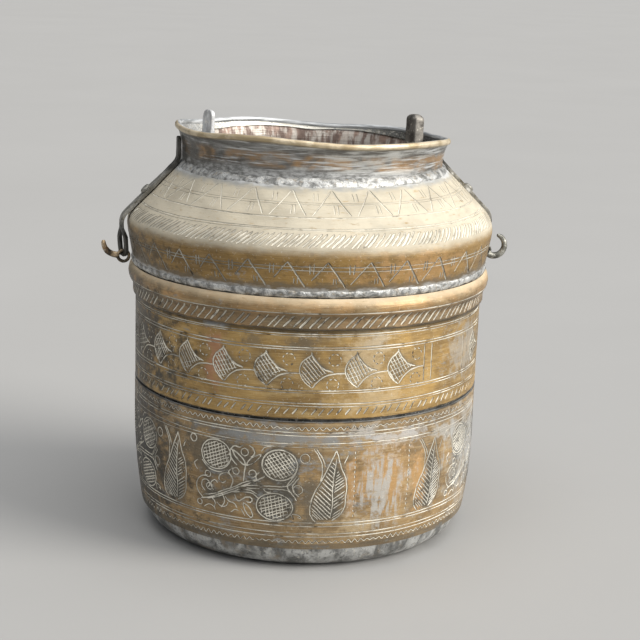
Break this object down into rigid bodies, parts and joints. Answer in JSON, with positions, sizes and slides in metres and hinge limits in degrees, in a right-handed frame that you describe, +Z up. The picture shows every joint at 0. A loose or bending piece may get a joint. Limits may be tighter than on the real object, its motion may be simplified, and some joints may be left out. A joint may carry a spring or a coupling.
{
  "type": "tiffin carrier",
  "caption": "Stacking food carrier of engraved brass: straight lower tiers and a shouldered top vessel that lift apart, with side straps and swinging hooks.",
  "frame": {"origin": "centre of the flat resting face of the base pan", "axes": "+Z up along the axis of the stack, front faces -Y, straps near the X axis"},
  "size_m": [0.2685, 0.2396, 0.2785],
  "materials": {
    "tinned_pan": "dull grey tinned copper, mottled and scuffed",
    "brass_wall": "aged hammered brass, engraved, with tin and verdigris left in the lines",
    "tinned_sheet": "dull hand-wiped tin over copper",
    "brass_skirt": "aged brass, polished on the roll and dark in the grooves",
    "brass_shoulder": "pale worn brass, engraved",
    "solder": "irregular grey-white soft solder",
    "worn_neck": "brass showing in patches through wiped tin",
    "tinned_band": "pale tin, streaked",
    "iron": "forged iron, dark and dull",
    "hook_brass": "hand-bent brass wire, worn bright",
    "hook_iron": "grey worn wire",
    "lug_iron": "forged iron with grey tin left on it"
  },
  "bodies": {
    "bottom_tier": {"base_pan": "tinned_pan", "bottom_wall": "brass_wall", "bottom_collar": "tinned_sheet"},
    "middle_tier": {"middle_wall": "brass_wall", "middle_floor": "tinned_sheet"},
    "top_vessel": {"skirt_ring": "brass_skirt", "top_floor": "tinned_sheet", "shoulder_shell": "brass_shoulder", "waist_solder": "solder", "neck_solder": "solder", "neck_collar": "worn_neck", "mouth_band": "tinned_band", "left_strap": "iron", "right_strap": "iron", "strap_rivets": "iron", "left_lug": "lug_iron", "right_lug": "lug_iron"},
    "left_hook": {"left_hook": "hook_brass"},
    "right_hook": {"right_hook": "hook_iron"}
  },
  "joints": [
    {"name": "middle_lift", "type": "slide", "parent": "bottom_tier", "child": "middle_tier", "axis": [0, 0, 1], "range_m": [0, 0.12]},
    {"name": "top_lift", "type": "slide", "parent": "middle_tier", "child": "top_vessel", "axis": [0, 0, 1], "range_m": [0, 0.12]},
    {"name": "left_hook_swing", "type": "hinge", "parent": "top_vessel", "child": "left_hook", "pos_m": [-0.11946, -0.02758, 0.181], "axis": [-0.225, 0.9744, 0], "range_deg": [-92, 36]},
    {"name": "right_hook_swing", "type": "hinge", "parent": "top_vessel", "child": "right_hook", "pos_m": [0.11946, 0.02758, 0.181], "axis": [0.225, -0.9744, 0], "range_deg": [-58, 44]}
  ]
}
